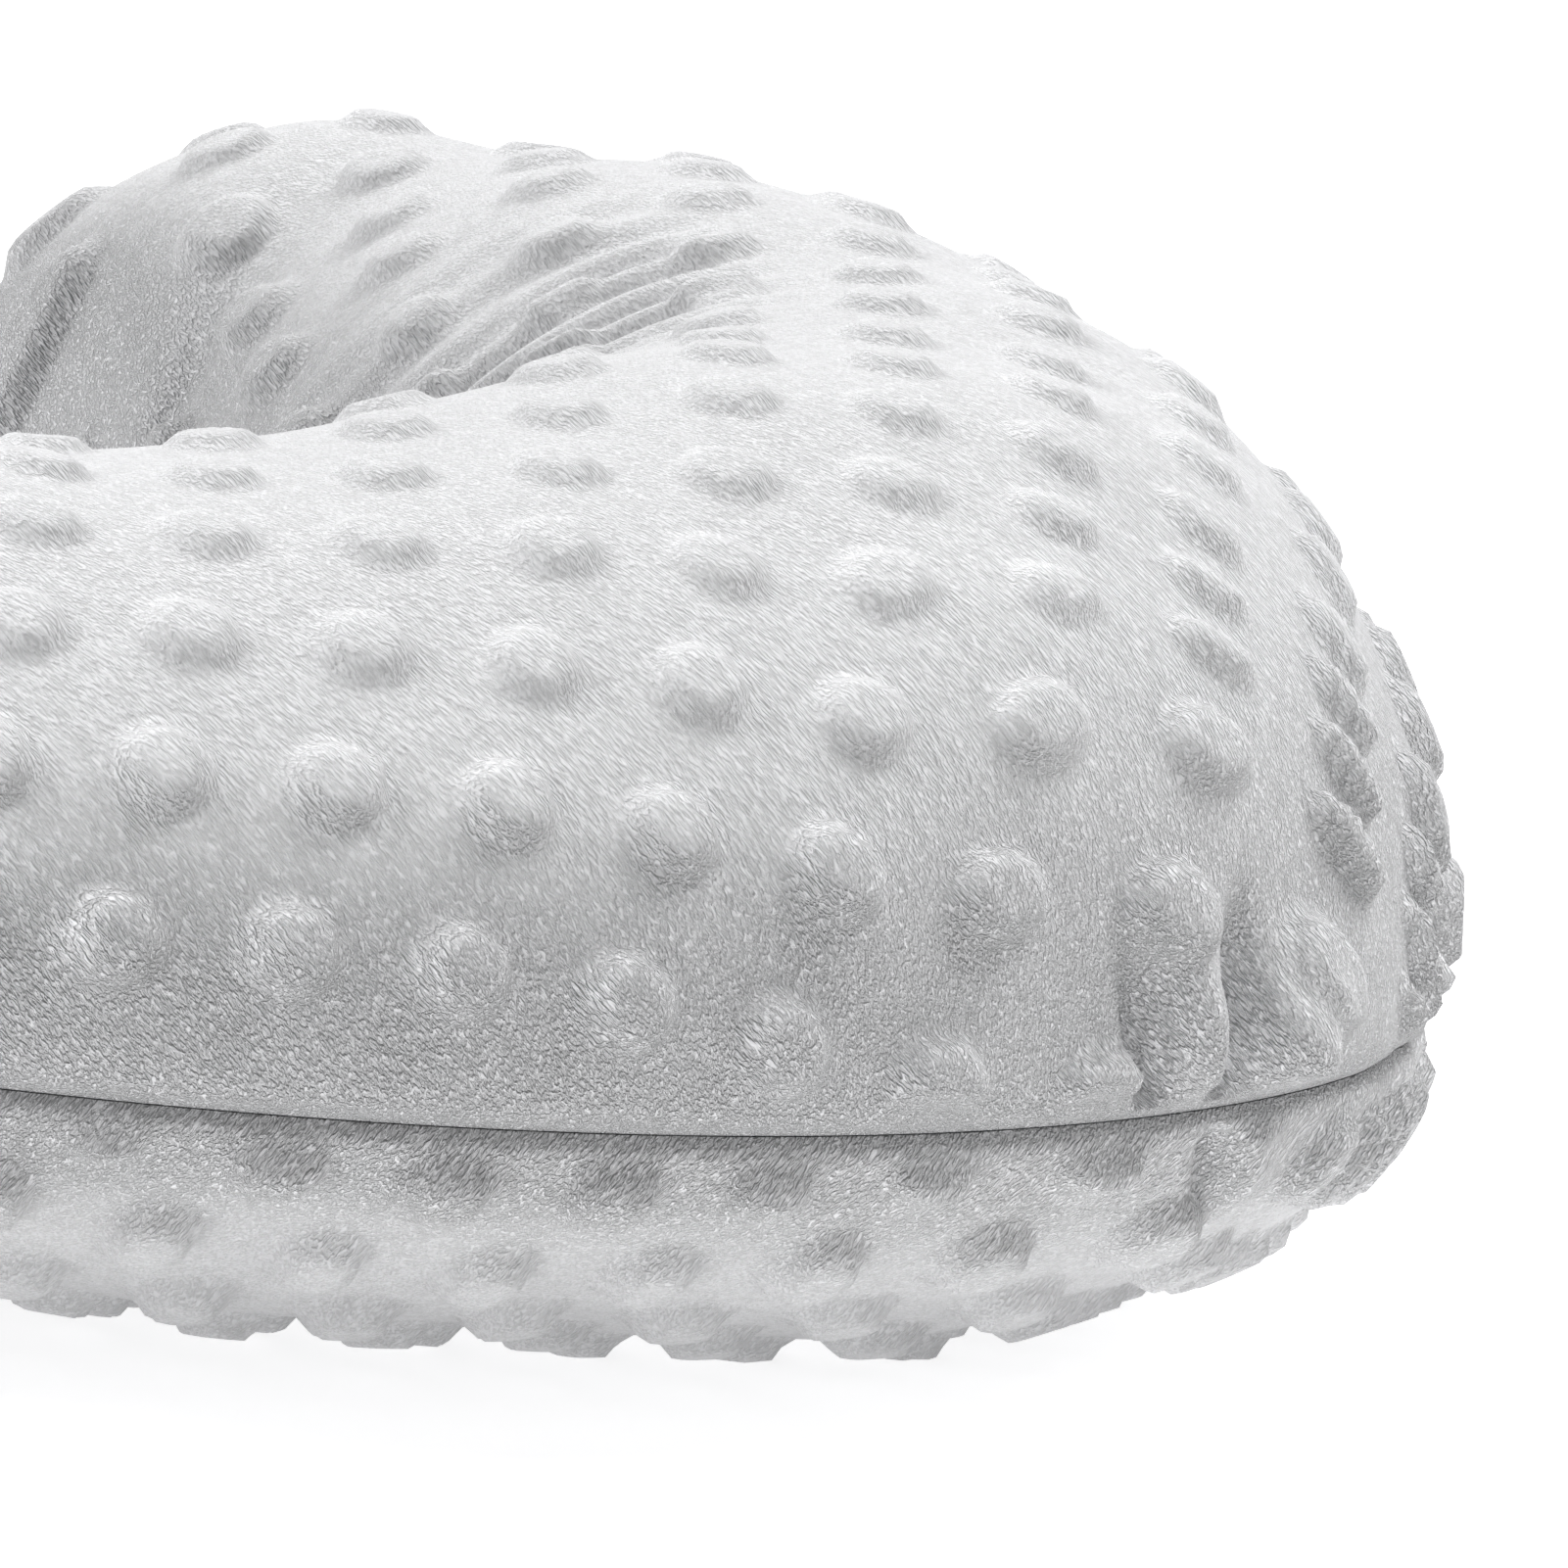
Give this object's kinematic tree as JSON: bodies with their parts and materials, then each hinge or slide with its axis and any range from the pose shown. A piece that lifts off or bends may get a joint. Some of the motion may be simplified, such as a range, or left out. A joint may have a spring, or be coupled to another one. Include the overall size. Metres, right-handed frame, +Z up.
{
  "type": "nursing pillow",
  "caption": "U-shaped nursing pillow with a removable zipped raised-dot plush cover over a fibre-filled inner casing.",
  "frame": {"origin": "middle of the plan outline, on the floor under the pillow", "axes": "+Z up, +X across the arms, +Y from the closed side towards the open mouth"},
  "size_m": [0.471, 0.4273, 0.1322],
  "materials": {
    "minky": "brushed raised-dot polyester plush, light grey",
    "casing_cotton": "plain woven, off-white",
    "polyester_fibre": "loose white fibre",
    "zip_tape": "woven tape, light grey",
    "zip_nylon": "nylon coil, satin",
    "zip_metal": "plated zinc, satin",
    "label_satin": "satin weave, blank white"
  },
  "bodies": {
    "pillow": {"cover_top_panel": "minky", "cover_bottom_panel": "minky", "casing_top_panel": "casing_cotton", "casing_bottom_panel": "casing_cotton", "fibre_filling": "polyester_fibre", "zip_tape_upper": "zip_tape", "zip_tape_lower": "zip_tape", "zip_coil_upper": "zip_nylon", "zip_coil_lower": "zip_nylon", "zip_top_stop_upper": "zip_metal", "zip_top_stop_lower": "zip_metal", "zip_bottom_stop": "zip_metal", "care_label": "label_satin"},
    "slider": {"zip_slider": "zip_metal"},
    "pull_tab": {"zip_pull_tab": "zip_metal"}
  },
  "joints": [
    {"name": "zip_travel", "type": "hinge", "parent": "pillow", "child": "slider", "pos_m": [0, 0.05205, 0.046], "axis": [0, 0, 1], "range_deg": [0, 72.3]},
    {"name": "pull_swing", "type": "hinge", "parent": "slider", "child": "pull_tab", "pos_m": [-0.15838, -0.16434, 0.046], "axis": [0, 0, 1], "range_deg": [0, 175]}
  ]
}
